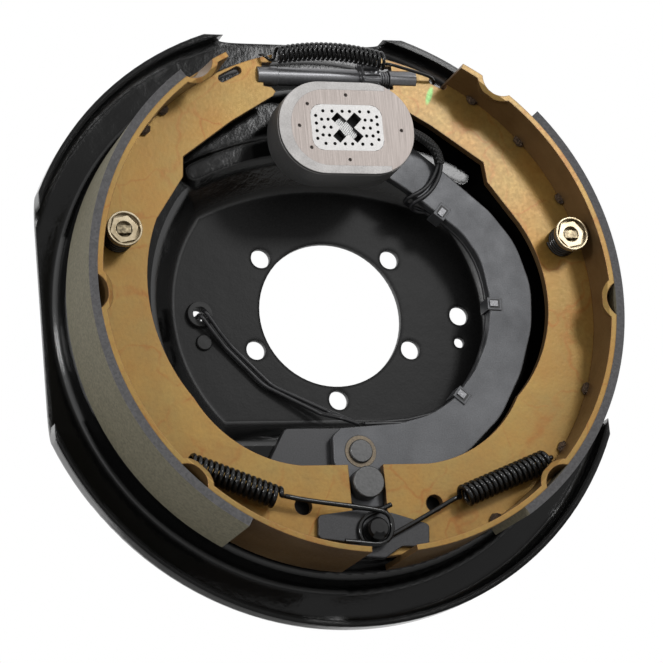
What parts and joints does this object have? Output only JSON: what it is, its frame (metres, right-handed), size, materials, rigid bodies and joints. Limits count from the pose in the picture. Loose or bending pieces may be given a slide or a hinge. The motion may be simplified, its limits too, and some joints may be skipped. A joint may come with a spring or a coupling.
{
  "type": "electric drum brake assembly",
  "caption": "Electric drum brake for a trailer axle: pressed backing plate, curved lined shoes, magnet on a pivoted arm, screw adjuster and coil springs.",
  "frame": {"origin": "centre of the hub bore on the flat rear face of the recessed centre, which bolts to the axle flange", "axes": "+Y along the axle towards the vehicle, away from the drum; +Z from the anchor post to the adjuster; +X to the side of the primary shoe"},
  "size_m": [0.321, 0.0851, 0.3397],
  "materials": {
    "black_paint": "gloss",
    "gold_varnish": "gloss",
    "lining": "matte",
    "phosphate_steel": "satin",
    "bright_steel": "satin",
    "zinc_plate": "satin",
    "bronze": "satin",
    "black_spring": "gloss",
    "black_insulation": "satin",
    "black_rubber": "matte",
    "braided_sleeve": "matte",
    "cast_aluminium": "satin",
    "friction_face": "satin",
    "white_plate": "satin"
  },
  "bodies": {
    "root": {"backing_plate": "black_paint", "adjusting_slot_plug": "black_rubber", "lead_grommet": "black_rubber", "drain_plug": "black_rubber", "anchor_bracket": "phosphate_steel", "anchor_post": "phosphate_steel", "keeper_plate": "phosphate_steel", "pivot_pin": "bright_steel", "left_hold_down_pin": "zinc_plate", "right_hold_down_pin": "zinc_plate", "left_hold_down_spring": "black_spring", "right_hold_down_spring": "black_spring", "lead_wires_plate": "black_insulation", "lead_tail_a": "black_insulation", "lead_tail_b": "black_insulation"},
    "arm": {"magnet_arm": "phosphate_steel", "arm_bushing": "bronze", "cam_stud": "bright_steel", "wire_clips": "phosphate_steel", "magnet_stud": "bright_steel", "magnet_clip": "bright_steel", "lead_wires_arm": "black_insulation", "lead_sleeve": "braided_sleeve", "magnet_spring": "black_spring"},
    "magnet": {"magnet_case": "cast_aluminium", "magnet_face": "friction_face", "magnet_core_plate": "white_plate"},
    "secondary_shoe": {"secondary_table": "gold_varnish", "secondary_web": "gold_varnish", "secondary_lining": "lining", "secondary_return_spring": "black_spring", "adjuster_tube": "zinc_plate", "adjuster_left_socket": "zinc_plate", "adjuster_spring": "black_spring"},
    "primary_shoe": {"primary_table": "gold_varnish", "primary_web": "gold_varnish", "primary_lining": "lining", "primary_return_spring": "black_spring"},
    "adjuster_end": {"adjuster_right_socket": "zinc_plate"},
    "star_wheel_body": {"star_wheel": "zinc_plate"},
    "left_cup": {"left_hold_down_cup": "zinc_plate"},
    "right_cup": {"right_hold_down_cup": "zinc_plate"}
  },
  "joints": [
    {"name": "arm_swing", "type": "hinge", "parent": "root", "child": "arm", "pos_m": [0, -0.027, -0.0847], "axis": [0, -1, 0], "range_deg": [0, 5], "stiffness_Nm_per_rad": 3},
    {"name": "magnet_float", "type": "slide", "parent": "arm", "child": "magnet", "axis": [0, 1, 0], "range_m": [0, 0.003], "stiffness_N_per_m": 1200, "deforming": ["magnet_spring"]},
    {"name": "secondary_spread", "type": "hinge", "parent": "root", "child": "secondary_shoe", "pos_m": [0, -0.0335, -0.1306], "axis": [0, -1, 0], "range_deg": [0, 0.34], "deforming": ["secondary_return_spring"]},
    {"name": "primary_spread", "type": "hinge", "parent": "secondary_shoe", "child": "primary_shoe", "pos_m": [0.06232, -0.0335, 0.1275], "axis": [0, -1, 0], "range_deg": [0, 0.44], "deforming": ["adjuster_spring", "primary_return_spring"]},
    {"name": "adjuster_travel", "type": "slide", "parent": "secondary_shoe", "child": "adjuster_end", "axis": [1, 0, 0], "range_m": [-0.0015, 0]},
    {"name": "star_wheel_spin", "type": "hinge", "parent": "adjuster_end", "child": "star_wheel_body", "pos_m": [0.024, -0.0335, 0.1283], "axis": [1, 0, 0], "range_deg": [-360, 0]},
    {"name": "left_cup_press", "type": "slide", "parent": "root", "child": "left_cup", "axis": [0, 1, 0], "range_m": [0, 0.0025], "stiffness_N_per_m": 4000, "deforming": ["left_hold_down_spring"]},
    {"name": "right_cup_press", "type": "slide", "parent": "root", "child": "right_cup", "axis": [0, 1, 0], "range_m": [0, 0.0025], "stiffness_N_per_m": 4000, "deforming": ["right_hold_down_spring"]}
  ],
  "couplings": [
    {"joint": "secondary_spread", "follows": "arm_swing", "ratio": 0.066},
    {"joint": "primary_spread", "follows": "arm_swing", "ratio": 0.086},
    {"joint": "star_wheel_spin", "follows": "adjuster_travel", "rad_per_m": 4188.8}
  ]
}
